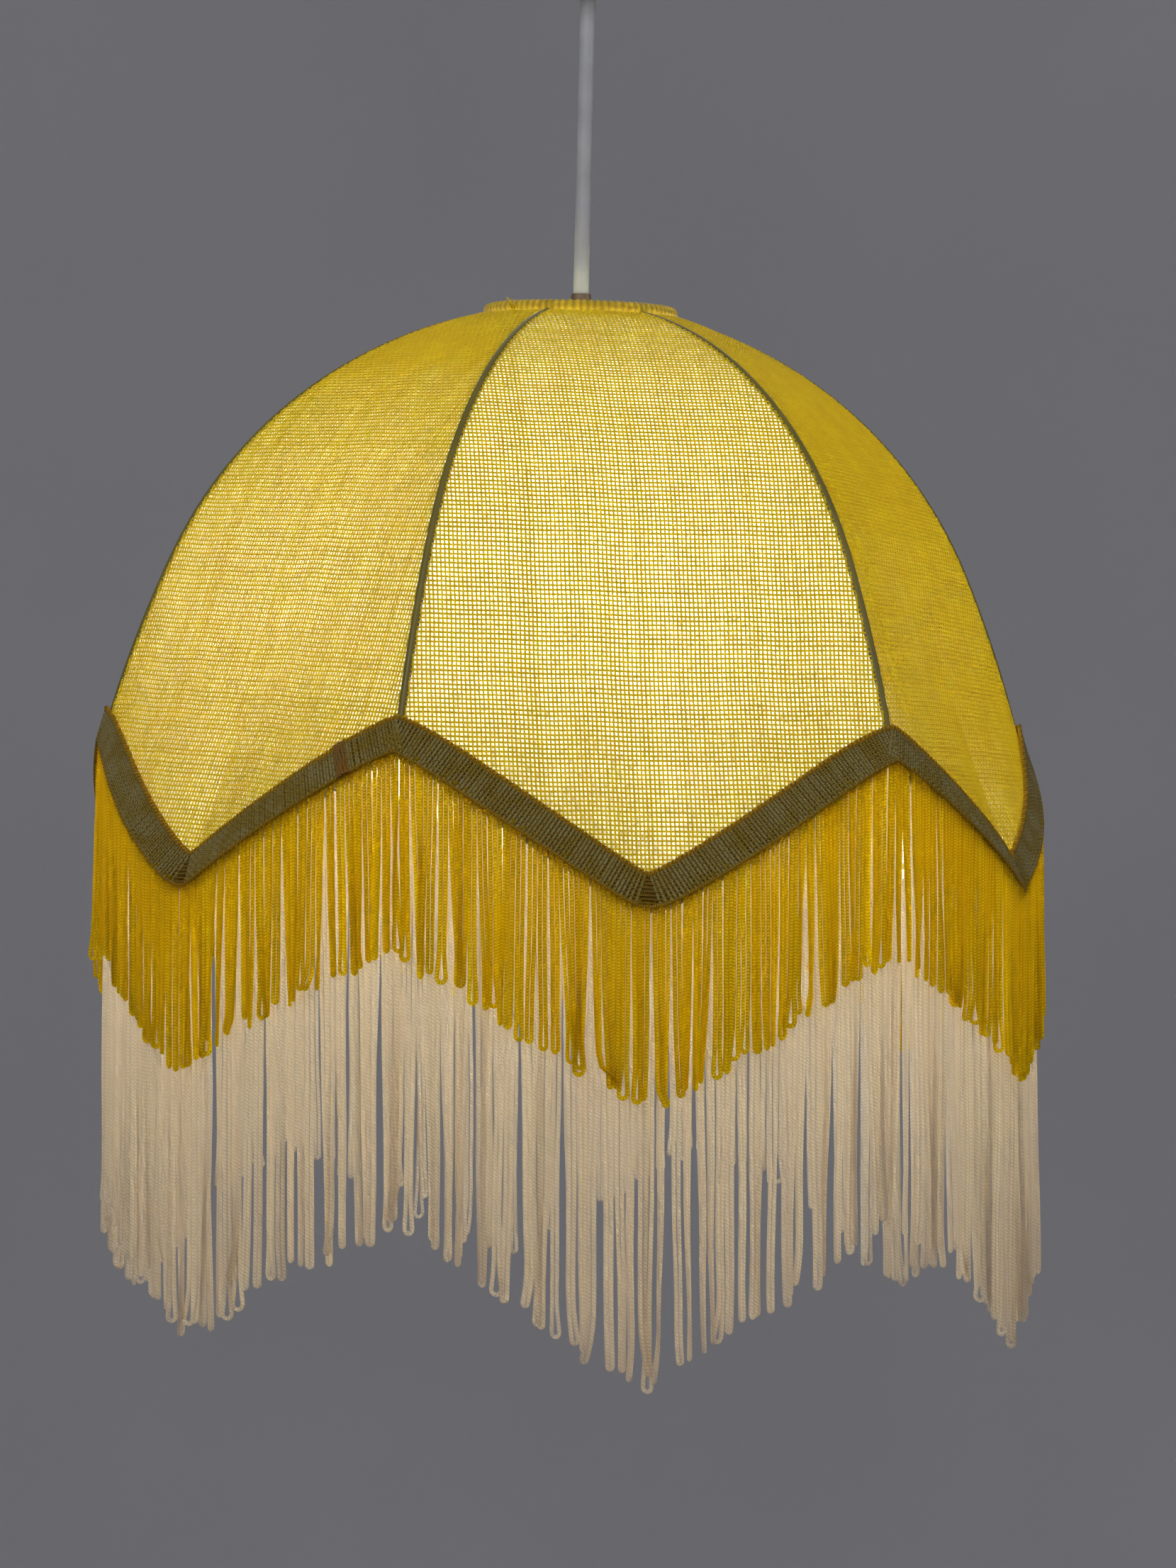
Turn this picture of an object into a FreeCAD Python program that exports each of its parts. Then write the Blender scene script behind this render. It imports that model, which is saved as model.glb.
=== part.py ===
"""Fringed dome lamp shade hanging on its pendant: a six-rib wire frame covered with six gores
of open-weave fabric, a scalloped hem with a yellow and a white looped fringe, and the
lampholder, bulb, flex and ceiling rose that carry it.

Millimetres, +Z up. The origin is the centre of the rose's face on the ceiling. One rib
points along +X, so the middle of a gore faces -Y.
"""

import FreeCAD, Part
import math
import os

from FreeCAD import Vector

# ---- driving dimensions -------------------------------------------------------------------
RIBS = 6                    # ribs, and gores between them
CEILING_DROP = 306.0        # from the ceiling down to the top of the hem trim at a rib
RIM_R = 175.0               # outside radius of the fabric at the top of the hem trim
RIM_TILT = math.radians(16.0)       # lean of a rib from the vertical at the rim
LOWER_BEND_R = 450.0        # the gentle lower bend of a rib
LOWER_RISE = 58.9           # height of that bend above the rim
UPPER_BEND_R = 165.4        # the rounder upper bend
DOME_H = 153.7              # rim to the top ends of the ribs
GORE_H = 153.0              # rim to the top edge of the fabric
FABRIC_T = 0.8
WIRE_R = 1.5                # ribs, rings and hem of the frame
RIB_DEPTH = 1.7             # a rib's centre below the outer face of the fabric
RIB_SLOT = 1.6              # half the gap between gores, filled by the rib
RING_R = 34.2               # top ring, at the wire's centre
RING_RISE = 0.5             # the ring's centre above the fabric's outline at the ribs' ends
BINDING_IN, BINDING_OUT = 1.6, 2.3  # binding of the top ring, from the wire's centre
BINDING_ARC = (-8.0, 205.0)

# radius of the trim's top edge and slope of the fabric there: at a rib, halfway, in a valley
HEM_SHAPE = ((RIM_R, math.tan(RIM_TILT)), (172.5, 0.509), (174.0, 0.456))
VALLEY_DROP = 49.0          # how far the trim's top edge lies below the rim in a valley
FLARE_START = 40.0          # height above which the middle of a gore is straight between ribs
TRIM_W = 12.0               # the trim, measured down
TRIM_T = 1.4
HEM_DROP = 9.0              # hem wire's centre below the trim's top edge
FABRIC_EDGE = 11.0          # fabric's cut edge below the trim's top edge
HEM_CORNER_R = 9.0
YELLOW_FALL = 68.0          # yellow fringe below its trim
WHITE_TOP, WHITE_FOOT = 4.0, 16.0   # white tape's edges below the trim's top edge
WHITE_FALL = 160.0
YELLOW_FRINGE_R = (179.1, 180.9)
WHITE_TAPE_R = (171.0, 172.4)
WHITE_FRINGE_R = (173.0, 175.0)

FITTER_BORE_R = 21.0        # hole of a fitting ring for an E27 lampholder
FITTER_R = 24.5
FITTER_T = 1.6
FITTER_DROP = 29.0          # fitting ring's top below the top ring's centre
SPOKES = 3
SPOKE_R = 1.25

THREAD_R = 19.8             # outside of the lampholder
FLANGE_R = 23.0
FLANGE_T = 3.0
SKIRT_LEN = 26.0
HOLDER_WALL = 2.0
CAP_H = 28.0                # lampholder cap above the flange
NOSE_R = 6.0
GRIP_R = (4.4, 3.7)         # cord grip, foot and tip
GRIP_H = 5.0
NUT_R, NUT_H = 27.0, 5.0    # shade ring nut
NUT_FLUTES = 18
GAP = 0.2                   # between parts that move on each other

E27_R = 13.1
SHELL_R = (13.4, 13.9)
BULB_CAP_H = 22.0
BULB_BASE_H = 3.0           # insulator and tip above the screw cap
NECK_R = 12.4
GLASS_T = 1.0
GLOBE_R = 30.0
BULB_LEN = 106.0

FLEX_R = 3.0
CORE_R = 1.0
PIVOT_DROP = 27.0           # the flex swings about a point this far below the ceiling
ROSE_R, ROSE_H = 32.0, 29.0
ROSE_WALL = 2.2
ROSE_BASE_T = 4.0
OUTLET_R = 6.3
BUSH_R = 6.0
SCREW_PITCH = 36.0
SCREW_HOLE_R = 2.25

# ---- derived levels -----------------------------------------------------------------------
RIM_Z = -CEILING_DROP
TOP_Z = RIM_Z + DOME_H
RING_Z = TOP_Z + RING_RISE
FITTER_TOP = RING_Z - FITTER_DROP
FLANGE_FOOT = FITTER_TOP + GAP
FLANGE_TOP = FLANGE_FOOT + FLANGE_T
CAP_TOP = FLANGE_TOP + CAP_H
NUT_TOP = FITTER_TOP - FITTER_T - GAP
SKIRT_FOOT = FLANGE_FOOT - SKIRT_LEN
BULB_TOP = FLANGE_FOOT - 1.0
PIVOT_Z = -PIVOT_DROP
HALF = math.pi / RIBS
RUNS = 4 * RIBS             # straight runs of the hem, four to a gore


def polar(radius, angle, z):
    """The point at this radius, angle in radians from +X, and height."""
    return Vector(radius * math.cos(angle), radius * math.sin(angle), z)


def turned(shape, degrees):
    """A copy of the shape turned about the vertical axis."""
    copy = shape.copy()
    copy.rotate(Vector(0, 0, 0), Vector(0, 0, 1), degrees)
    return copy


def save(name, shape):
    """Writes one sub-part to its file."""
    shape.exportStep("parts/" + name + ".step")


# ---- the dome's outline -------------------------------------------------------------------
def lean(height):
    """A rib's lean from the vertical at this height above the rim."""
    if height < LOWER_RISE:
        return math.asin(math.sin(RIM_TILT) + height / LOWER_BEND_R)
    return math.asin(math.sin(lean(LOWER_RISE - 1e-9)) + (height - LOWER_RISE) / UPPER_BEND_R)


def rib_radius(height):
    """The fabric's outside radius at a rib, at this height above the rim."""
    lower = min(height, LOWER_RISE)
    radius = RIM_R + LOWER_BEND_R * (math.cos(lean(lower)) - math.cos(RIM_TILT))
    if height > LOWER_RISE:
        radius += UPPER_BEND_R * (math.cos(lean(height)) - math.cos(lean(LOWER_RISE)))
    return radius


def face_radius(share):
    """The outline of a gore's outside, part of the way from a rib (0) to the gore's middle (1):
    straight across between the ribs, round at the top ring, and flared out round the hem."""
    flatness = math.cos(HALF) / math.cos(HALF * (1.0 - share))
    start = rib_radius(FLARE_START) * flatness
    slope = math.tan(lean(FLARE_START)) * flatness
    full = FLARE_START + VALLEY_DROP * share
    bend = (trim_edge(share)[0] - start - slope * full) / full**2

    def radius_at(height):
        below = max(0.0, FLARE_START - height)
        near_top = max(0.0, 1.0 - (DOME_H - height) / 12.0)
        radius = rib_radius(max(height, FLARE_START)) * flatness + slope * below + bend * below**2
        return radius + rib_radius(height) * (1.0 - flatness) * near_top**2

    return radius_at


def inward(radius_at, height, depth, across=1.0):
    """A point of an outline, moved in by depth at right angles to it: its radius and height.
    across scales the radius for an outline that runs beside a rib."""
    step = 0.05
    rise = Vector((radius_at(height + step) - radius_at(height - step)) * across, 0, 2 * step)
    rise.normalize()
    return radius_at(height) * across - depth * rise.z, height + depth * rise.x


def curve(points):
    """A smooth edge through the points."""
    line = Part.BSplineCurve()
    line.interpolate(points)
    return line.toShape()


def solid_from(faces):
    """A solid inside the faces."""
    shell = Part.makeShell(faces)
    shell.sewShape()
    solid = Part.makeSolid(shell)
    if solid.Volume < 0:
        solid.reverse()
    return solid


# ---- fabric -------------------------------------------------------------------------------
def gore():
    """One gore about +X: four curved strips between the lines that run down it."""
    stations = 10
    span = GORE_H + FABRIC_EDGE
    heights = [
        GORE_H - span * (1.0 - math.sin(math.pi / 2 * k / (stations - 1))) for k in range(stations)
    ]
    lines = {}
    for depth in (0.0, FABRIC_T):
        for place in (-2, -1, 0, 1, 2):
            share = 1.0 - abs(place) / 2
            points = []
            for height in heights:
                if share == 0.0:
                    x, z = inward(rib_radius, height, depth, math.cos(HALF))
                    y = x * math.tan(HALF) - RIB_SLOT / math.cos(HALF)
                    y = math.copysign(y, place)
                else:
                    lower = height - share * VALLEY_DROP * ((GORE_H - height) / span) ** 2
                    radius, z = inward(face_radius(share), lower, depth)
                    x = radius * math.cos(HALF * place / 2)
                    y = radius * math.sin(HALF * place / 2)
                points.append(Vector(x, y, RIM_Z + z))
            lines[place, depth] = curve(points)
    faces = []
    for place in (-2, -1, 0, 1):
        for depth in (0.0, FABRIC_T):
            faces.append(Part.makeRuledSurface(lines[place, depth], lines[place + 1, depth]))
        for end in (0, -1):
            across = [
                Part.makeLine(
                    lines[place, depth].Vertexes[end].Point,
                    lines[place + 1, depth].Vertexes[end].Point,
                )
                for depth in (0.0, FABRIC_T)
            ]
            faces.append(Part.makeRuledSurface(across[0], across[1]))
    for place in (-2, 2):
        faces.append(Part.makeRuledSurface(lines[place, 0.0], lines[place, FABRIC_T]))
    return solid_from(faces)


def hem_share(station):
    """How far a station of the hem is from a rib (0) to a valley (1)."""
    return 1.0 - abs(station % 4 - 2) / 2


def zigzag(section_at):
    """The straight runs of a band round the hem. section_at gives the corners of the band's
    section, as radius and height, between a rib (0) and a valley (1)."""
    runs = []
    for k in range(RUNS):
        ends = []
        for station in (k, k + 1):
            angle = station * HALF / 2
            corners = [polar(r, angle, z) for r, z in section_at(hem_share(station))]
            ends.append(Part.makePolygon(corners + corners[:1]))
        runs.append(Part.makeLoft(ends, True, True))
    return runs


def fused(solids):
    """One solid from solids that share faces."""
    return solids[0].multiFuse(solids[1:]).removeSplitter()


def trim_edge(share):
    """The trim's top edge between a rib and a valley: the fabric's radius, height and slope."""
    radius, slope = HEM_SHAPE[int(2 * share)]
    return radius, RIM_Z - VALLEY_DROP * share, slope


def yellow_trim_section(share):
    """The trim lies on the fabric and leans with it."""
    r, z, slope = trim_edge(share)
    top = r + 0.5
    foot = top + slope * TRIM_W
    return [(top, z), (top + TRIM_T, z), (foot + TRIM_T, z - TRIM_W), (foot, z - TRIM_W)]


def upright_section(radii, top, foot):
    """A section that hangs straight down, from top to foot below the trim's top edge."""

    def section(share):
        z = trim_edge(share)[1]
        return [(radii[0], z - top), (radii[1], z - top), (radii[1], z - foot), (radii[0], z - foot)]

    return section


# ---- wire frame ---------------------------------------------------------------------------
def rod(edges, radius):
    """A round bar along the edges."""
    path = Part.Wire(edges)
    start = edges[0].valueAt(edges[0].FirstParameter)
    heading = edges[0].tangentAt(edges[0].FirstParameter)
    ring = Part.Wire([Part.makeCircle(radius, start, heading)])
    return path.makePipeShell([ring], True, True)


def bent(points, bend):
    """Straight edges through the points with tangent arcs of radius bend at the corners."""
    edges = []
    start = points[0]
    for before, corner, after in zip(points, points[1:], points[2:]):
        back = (before - corner).normalize()
        ahead = (after - corner).normalize()
        half = back.getAngle(ahead) / 2
        reach = bend / math.tan(half)
        first = corner + back * reach
        last = corner + ahead * reach
        towards = (back + ahead).normalize()
        middle = corner + towards * (bend / math.sin(half) - bend)
        edges.append(Part.makeLine(start, first))
        edges.append(Part.Arc(first, middle, last).toShape())
        start = last
    edges.append(Part.makeLine(start, points[-1]))
    return edges


def hem_wire():
    """The scalloped hem, bent from bar: sharp at the ribs and valleys, eased between them."""
    corners = []
    depth = (FABRIC_T + WIRE_R + GAP) / math.cos(HALF) + 0.2
    for k in range(RUNS + 2):
        r, z, slope = trim_edge(hem_share(k))
        corners.append(polar(r + slope * HEM_DROP - depth, k * HALF / 2, z - HEM_DROP))
    bends = []
    for k in range(1, RUNS + 1):
        before = (corners[k - 1] + corners[k]) * 0.5
        after = (corners[k] + corners[k + 1]) * 0.5
        bends.append(rod(bent([before, corners[k], after], HEM_CORNER_R), WIRE_R))
    return fused(bends)


def rib(hem):
    """The rib on +X, from the hem wire, which it is cut to meet, up to the top ring."""
    foot = -HEM_DROP
    levels = [foot, (foot + LOWER_RISE) / 2, LOWER_RISE, (LOWER_RISE + DOME_H) / 1.7, DOME_H]
    points = []
    for height in levels:
        r, z = inward(rib_radius, height, RIB_DEPTH)
        points.append(Vector(r, 0, RIM_Z + z))
    edges = [
        Part.Arc(points[0], points[1], points[2]).toShape(),
        Part.Arc(points[2], points[3], points[4]).toShape(),
    ]
    return rod(edges, WIRE_R).cut(hem)


def ring_section(angles, inner, outer):
    """A ring whose section is part of an annulus about the top ring's centre."""
    first, last = (math.radians(a) for a in angles)
    middle = (first + last) / 2

    def at(radius, angle):
        return Vector(RING_R + radius * math.cos(angle), 0, RING_Z + radius * math.sin(angle))

    edges = [
        Part.Arc(at(outer, first), at(outer, middle), at(outer, last)).toShape(),
        Part.makeLine(at(outer, last), at(inner, last)),
        Part.Arc(at(inner, last), at(inner, middle), at(inner, first)).toShape(),
        Part.makeLine(at(inner, first), at(outer, first)),
    ]
    face = Part.Face(Part.Wire(edges))
    return face.revolve(Vector(0, 0, 0), Vector(0, 0, 1), 360)


def tube(outer, inner, foot, top):
    """An upright tube between two heights."""
    body = Part.makeCylinder(outer, top - foot, Vector(0, 0, foot))
    return body.cut(Part.makeCylinder(inner, top - foot, Vector(0, 0, foot)))


def spoke(ring, fitter):
    """A bent spoke on +X, from the fitting ring out and up to the top ring."""
    level = FITTER_TOP - 0.3
    points = [
        Vector(FITTER_R - 0.8, 0, level),
        Vector(RING_R, 0, level),
        Vector(RING_R, 0, RING_Z - 1.0),
    ]
    return rod(bent(points, 5.0), SPOKE_R).cut(ring).cut(fitter)


def frame_and_cover():
    """Everything that turns with the shade."""
    ring = Part.makeTorus(RING_R, WIRE_R, Vector(0, 0, RING_Z))
    hem = hem_wire()
    fitter = tube(FITTER_R, FITTER_BORE_R, FITTER_TOP - FITTER_T, FITTER_TOP)
    save("top_ring", ring)
    save("hem_wire", hem)
    save("fitter_ring", fitter)
    one_rib = rib(hem)
    one_gore = gore()
    for k in range(RIBS):
        save("rib_" + str(k + 1), turned(one_rib, 360.0 / RIBS * k))
        save("gore_" + str(k + 1), turned(one_gore, 360.0 / RIBS * (k + 0.5)))
    one_spoke = spoke(ring, fitter)
    for k in range(SPOKES):
        save("spoke_" + str(k + 1), turned(one_spoke, 360.0 / SPOKES * (k + 0.25)))
    save("top_binding", ring_section(BINDING_ARC, BINDING_IN, BINDING_OUT))
    save("yellow_trim", fused(zigzag(yellow_trim_section)))
    save("white_tape", fused(zigzag(upright_section(WHITE_TAPE_R, WHITE_TOP, WHITE_FOOT))))
    yellow = upright_section(YELLOW_FRINGE_R, TRIM_W + GAP, TRIM_W + YELLOW_FALL)
    save("yellow_fringe", Part.makeCompound(zigzag(yellow)))
    white = upright_section(WHITE_FRINGE_R, WHITE_FOOT + GAP, WHITE_FOOT + WHITE_FALL)
    save("white_fringe", Part.makeCompound(zigzag(white)))


# ---- lampholder ---------------------------------------------------------------------------
def turned_profile(outline):
    """A solid of revolution from corners (radius, height); a third value on a corner is the
    bulge of the arc that reaches it, as the arc's middle (radius, height)."""
    edges = []
    here = Vector(outline[0][0], 0, outline[0][1])
    for corner in outline[1:] + outline[:1]:
        there = Vector(corner[0], 0, corner[1])
        if len(corner) > 2:
            bulge = Vector(corner[2][0], 0, corner[2][1])
            edges.append(Part.Arc(here, bulge, there).toShape())
        else:
            edges.append(Part.makeLine(here, there))
        here = there
    solid = Part.Face(Part.Wire(edges)).revolve(Vector(0, 0, 0), Vector(0, 0, 1), 360)
    if solid.Volume < 0:
        solid.reverse()
    return solid


def holder_cap():
    """The domed cap over the terminals, with a hole for the cord grip."""
    foot = FLANGE_TOP
    wall = HOLDER_WALL
    rise = CAP_TOP - foot
    hole = GRIP_R[0] - 1.0
    outer_mid = (THREAD_R * 0.80, foot + rise * 0.70)
    inner_mid = (THREAD_R * 0.80 - wall * 0.8, foot + (rise - wall) * 0.68)
    outline = [
        (THREAD_R - wall, foot),
        (THREAD_R, foot),
        (THREAD_R, foot + rise * 0.3),
        (NOSE_R, CAP_TOP, outer_mid),
        (hole, CAP_TOP),
        (hole, CAP_TOP - wall),
        (NOSE_R, CAP_TOP - wall),
        (THREAD_R - wall, foot + rise * 0.3, inner_mid),
    ]
    return turned_profile(outline)


def holder_body():
    """The threaded skirt with the flange that the shade hangs under."""
    skirt = tube(THREAD_R, THREAD_R - HOLDER_WALL, SKIRT_FOOT, FLANGE_TOP)
    return skirt.fuse(tube(FLANGE_R, THREAD_R - HOLDER_WALL, FLANGE_FOOT, FLANGE_TOP)).removeSplitter()


def shade_nut():
    """The ring nut that clamps the shade, with finger flutes round its edge."""
    body = tube(NUT_R, THREAD_R + 0.08, NUT_TOP - NUT_H, NUT_TOP)
    flute = Part.makeCylinder(1.2, NUT_H, Vector(NUT_R + 0.5, 0, NUT_TOP - NUT_H))
    flutes = [turned(flute, 360.0 / NUT_FLUTES * k) for k in range(NUT_FLUTES)]
    return body.cut(Part.makeCompound(flutes))


def lampholder():
    """The lampholder, its contacts and the flex it hangs on."""
    save("holder_cap", holder_cap())
    save("holder_body", holder_body())
    save("shade_nut", shade_nut())
    seat = FLANGE_FOOT
    save("contact_block", Part.makeCylinder(THREAD_R - HOLDER_WALL - 0.1, FLANGE_T, Vector(0, 0, seat)))
    save("contact_shell", tube(SHELL_R[1], SHELL_R[0], SKIRT_FOOT + 4.0, seat))
    save("centre_contact", Part.makeCylinder(4.0, 0.6, Vector(0, 0, seat - 0.6)))
    flex_foot = CAP_TOP - 8.0
    terminal_h = 7.0
    terminals = []
    cores = []
    for x in (-6.0, 6.0):
        terminals.append(Part.makeBox(5.0, 6.0, terminal_h, Vector(x - 2.5, -3.0, FLANGE_TOP)))
        path = bent(
            [
                Vector(x / 6.0 * 1.4, 0, flex_foot),
                Vector(x / 6.0 * 1.6, 0, flex_foot - 4.0),
                Vector(x, 0, FLANGE_TOP + terminal_h + 4.0),
                Vector(x, 0, FLANGE_TOP + terminal_h),
            ],
            2.0,
        )
        cores.append(rod(path, CORE_R))
    save("holder_terminals", Part.makeCompound(terminals))
    save("flex_cores", Part.makeCompound(cores))
    grip = Part.makeCone(GRIP_R[0], GRIP_R[1], GRIP_H, Vector(0, 0, CAP_TOP))
    bore = Part.makeCylinder(FLEX_R, GRIP_H, Vector(0, 0, CAP_TOP))
    save("cord_grip", grip.cut(bore))
    length = PIVOT_Z - flex_foot
    flex = Part.makeCylinder(FLEX_R, length, Vector(0, 0, flex_foot))
    save("flex", flex.fuse(Part.makeSphere(FLEX_R, Vector(0, 0, PIVOT_Z))))


# ---- bulb ---------------------------------------------------------------------------------
def envelope(inset):
    """The bulb's outline, moved in by inset: a globe that narrows to a neck."""
    top = BULB_TOP - BULB_CAP_H - BULB_BASE_H
    globe = GLOBE_R - inset
    centre = BULB_TOP - BULB_LEN + GLOBE_R
    neck = NECK_R - inset
    join = math.radians(48.0)
    join_r = globe * math.cos(join)
    join_z = centre + globe * math.sin(join)
    outline = [
        (0, top),
        (neck, top),
        (join_r, join_z, (neck + 1.6, (top + join_z) / 2)),
        (0, centre - globe, (globe, centre)),
    ]
    return turned_profile(outline)


def bulb():
    """A round E27 bulb: screw cap, glass insulator, tip contact and the glass."""
    shell_top = BULB_TOP - BULB_BASE_H
    save("bulb_tip", Part.makeCylinder(4.5, 1.2, Vector(0, 0, BULB_TOP - 1.2)))
    save("bulb_insulator", Part.makeCone(E27_R - 2.0, 5.5, 1.8, Vector(0, 0, shell_top)))
    save("bulb_cap", tube(E27_R, E27_R - 0.6, shell_top - BULB_CAP_H, shell_top))
    save("bulb_glass", envelope(0.0).cut(envelope(GLASS_T)))


# ---- ceiling rose -------------------------------------------------------------------------
def rose_cover():
    """The domed cover with the flex's outlet at its foot."""
    foot = -ROSE_H
    wall = ROSE_WALL
    side = -ROSE_H * 0.45
    bulge = (ROSE_R * 0.82, foot * 0.83)
    inner_bulge = (ROSE_R * 0.82 - wall * 0.9, foot * 0.83 + wall * 0.9)
    lip = OUTLET_R + 1.5
    outline = [
        (ROSE_R, -GAP),
        (ROSE_R, side),
        (lip + 2.0, foot, bulge),
        (lip, foot),
        (OUTLET_R, PIVOT_Z),
        (OUTLET_R, foot + wall + 1.5),
        (lip + 2.0, foot + wall + 1.5),
        (ROSE_R - wall, side, inner_bulge),
        (ROSE_R - wall, -GAP),
    ]
    return turned_profile(outline)


def ceiling_rose():
    """The rose: base with its screw holes, terminal block, cover, outlet bush and flex tail."""
    base = Part.makeCylinder(ROSE_R - ROSE_WALL - 0.1, ROSE_BASE_T, Vector(0, 0, -ROSE_BASE_T))
    for x in (-SCREW_PITCH / 2, SCREW_PITCH / 2):
        base = base.cut(Part.makeCylinder(SCREW_HOLE_R, ROSE_BASE_T, Vector(x, 0, -ROSE_BASE_T)))
    save("rose_base", base)
    save("rose_cover", rose_cover())
    block_h = 7.0
    block_foot = -ROSE_BASE_T - block_h
    block = Part.makeBox(10.0, 24.0, block_h, Vector(-5.0, -12.0, block_foot))
    screws = []
    for y in (-8.0, 0.0, 8.0):
        seat = Part.makeCylinder(1.6, 2.0, Vector(0, y, block_foot))
        block = block.cut(seat)
        screws.append(seat)
    save("terminal_block", block)
    save("terminal_screws", Part.makeCompound(screws))
    bush = Part.makeSphere(BUSH_R, Vector(0, 0, PIVOT_Z))
    slab = Part.makeBox(20, 20, 2.0, Vector(-10, -10, PIVOT_Z - 1.0))
    hole = Part.makeCylinder(FLEX_R + 0.5, 20, Vector(0, 0, PIVOT_Z - 10))
    save("outlet_bush", bush.common(slab).cut(hole))
    tail_foot = PIVOT_Z + FLEX_R + 0.6
    tail_top = block_foot - 3.0
    save("flex_tail", Part.makeCylinder(FLEX_R, tail_top - tail_foot, Vector(0, 0, tail_foot)))


os.makedirs("parts", exist_ok=True)
frame_and_cover()
lampholder()
bulb()
ceiling_rose()
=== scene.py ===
"""A fringed dome lamp shade on its pendant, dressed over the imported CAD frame.

Lengths below are in millimetres, with heights measured from the rim of the dome, the level of
the hem trim's top edge at a rib. place() turns them into metres in the frame of the CAD.
"""

import math

import bpy
import numpy as np
from mathutils import Matrix, Vector


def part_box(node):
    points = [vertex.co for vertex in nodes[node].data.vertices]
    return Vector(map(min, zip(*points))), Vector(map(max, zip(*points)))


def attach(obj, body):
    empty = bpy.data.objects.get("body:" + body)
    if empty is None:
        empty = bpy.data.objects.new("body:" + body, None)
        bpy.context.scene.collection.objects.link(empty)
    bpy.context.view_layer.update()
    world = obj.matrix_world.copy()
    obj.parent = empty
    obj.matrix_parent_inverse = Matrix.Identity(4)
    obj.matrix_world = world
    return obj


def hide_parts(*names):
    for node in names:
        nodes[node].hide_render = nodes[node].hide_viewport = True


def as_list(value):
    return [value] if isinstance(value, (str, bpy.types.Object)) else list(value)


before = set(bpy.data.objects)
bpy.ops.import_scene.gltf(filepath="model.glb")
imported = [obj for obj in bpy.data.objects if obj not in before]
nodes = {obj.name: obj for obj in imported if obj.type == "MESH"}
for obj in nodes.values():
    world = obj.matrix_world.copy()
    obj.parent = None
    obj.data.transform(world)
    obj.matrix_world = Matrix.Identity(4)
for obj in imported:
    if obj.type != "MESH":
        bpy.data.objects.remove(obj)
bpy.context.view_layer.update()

# ---- sizes of the CAD frame ---------------------------------------------------------------
RIM_Z = -306.0
GORES = 6
HALF = math.pi / GORES
RIM_R = 175.0
RIM_TILT = math.radians(16.0)
LOWER_BEND, LOWER_RISE, UPPER_BEND = 450.0, 58.9, 165.4
DOME_H = 153.7
GORE_TOP = 153.0
GORE_FOOT = -60.0
FABRIC_EDGE = -11.0
FLARE_START = 40.0
VALLEY_R, VALLEY_DROP = 174.0, 49.0
HEM_DIP, HEM_SWELL = 4.07, 5.07  # how far the hem's radius goes in and out towards a rib
TOP_ROUNDING = 12.0  # the height over which the gores turn round to meet the top ring
RING_R = 34.2
RING_H = DOME_H + 0.5
UP = np.array([0.0, 0.0, 1.0])

# ---- camera -------------------------------------------------------------------------------
CAMERA_AWAY, CAMERA_H, LENS = 1883.5, 12.65, 113.9
CAMERA_SIDE = math.radians(10.145)
PAN, PITCH, ROLL = (math.radians(a) for a in (0.216, -1.12, 1.381))


def aim_camera():
    """The camera stands in front and a little to the left, almost level with the rim."""
    right = Vector((math.cos(PAN), -math.sin(PAN), 0))
    ahead = Vector((math.sin(PAN), math.cos(PAN), 0))
    up = Vector((0, 0, 1)) * math.cos(PITCH) - ahead * math.sin(PITCH)
    rolled_right = right * math.cos(ROLL) + up * math.sin(ROLL)
    rolled_up = up * math.cos(ROLL) - right * math.sin(ROLL)
    axes = Matrix((rolled_right, rolled_up, rolled_right.cross(rolled_up))).transposed()
    spin = Matrix.Rotation(-CAMERA_SIDE, 4, "Z")
    spot = Matrix.Translation(Vector((0, -CAMERA_AWAY, RIM_Z + CAMERA_H)) * 0.001)
    data = bpy.data.cameras.new("camera")
    data.lens = LENS
    data.clip_end = 30.0
    camera = bpy.data.objects.new("camera", data)
    camera.matrix_world = spin @ spot @ axes.to_4x4()
    bpy.context.scene.collection.objects.link(camera)
    bpy.context.scene.camera = camera


aim_camera()


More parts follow.
